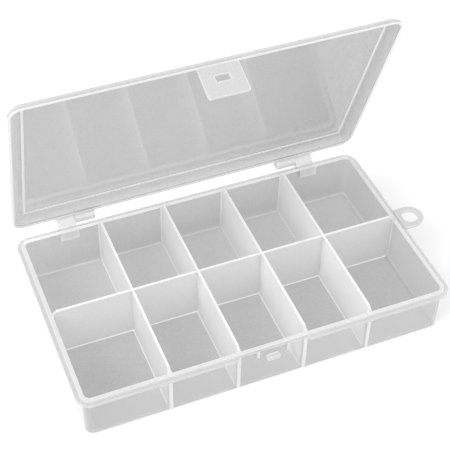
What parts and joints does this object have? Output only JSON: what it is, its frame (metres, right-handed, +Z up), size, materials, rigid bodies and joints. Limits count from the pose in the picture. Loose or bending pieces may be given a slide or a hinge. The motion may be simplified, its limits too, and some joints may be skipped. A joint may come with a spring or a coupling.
{
  "type": "parts sorting tray",
  "caption": "Translucent moulded sorting tray with fixed compartments, a lid on pin hinges at the back, a snap latch at the front and a hanging eye at one end.",
  "frame": {"origin": "middle of the tray's underside", "axes": "+X along the length towards the hanging eye, +Y towards the hinges, +Z up"},
  "size_m": [0.2141, 0.1258, 0.1446],
  "materials": {
    "tray_plastic": "translucent milky polypropylene, satin",
    "divider_plastic": "translucent milky polypropylene, satin",
    "lid_plastic": "translucent milky polypropylene, smooth inside",
    "moulded_details": "translucent milky polypropylene, satin"
  },
  "bodies": {
    "tray": {"tray_shell": "tray_plastic", "long_divider": "divider_plastic", "rear_divider_1": "divider_plastic", "rear_divider_2": "divider_plastic", "rear_divider_3": "divider_plastic", "rear_divider_4": "divider_plastic", "front_divider_1": "divider_plastic", "front_divider_2": "divider_plastic", "front_divider_3": "divider_plastic", "front_divider_4": "divider_plastic", "latch_nub": "moulded_details", "latch_rib_left": "moulded_details", "latch_rib_right": "moulded_details", "hanging_eye": "moulded_details", "hinge_bracket_left": "moulded_details", "hinge_bracket_right": "moulded_details", "hinge_pin_left": "moulded_details", "hinge_pin_right": "moulded_details"},
    "lid": {"lid_cover": "lid_plastic", "lid_bead": "moulded_details", "lid_knuckle_left": "moulded_details", "lid_knuckle_right": "moulded_details"},
    "latch_tab": {"latch_tab": "moulded_details"}
  },
  "joints": [
    {"name": "lid_hinge", "type": "hinge", "parent": "tray", "child": "lid", "pos_m": [0, 0.0638, 0.029], "axis": [-1, 0, 0], "range_deg": [-70.5, 109.5]},
    {"name": "latch_flex", "type": "hinge", "parent": "lid", "child": "latch_tab", "pos_m": [0, 0.02191, 0.14401], "axis": [-1, 0, 0], "range_deg": [0, 12], "stiffness_Nm_per_rad": 0.15}
  ]
}
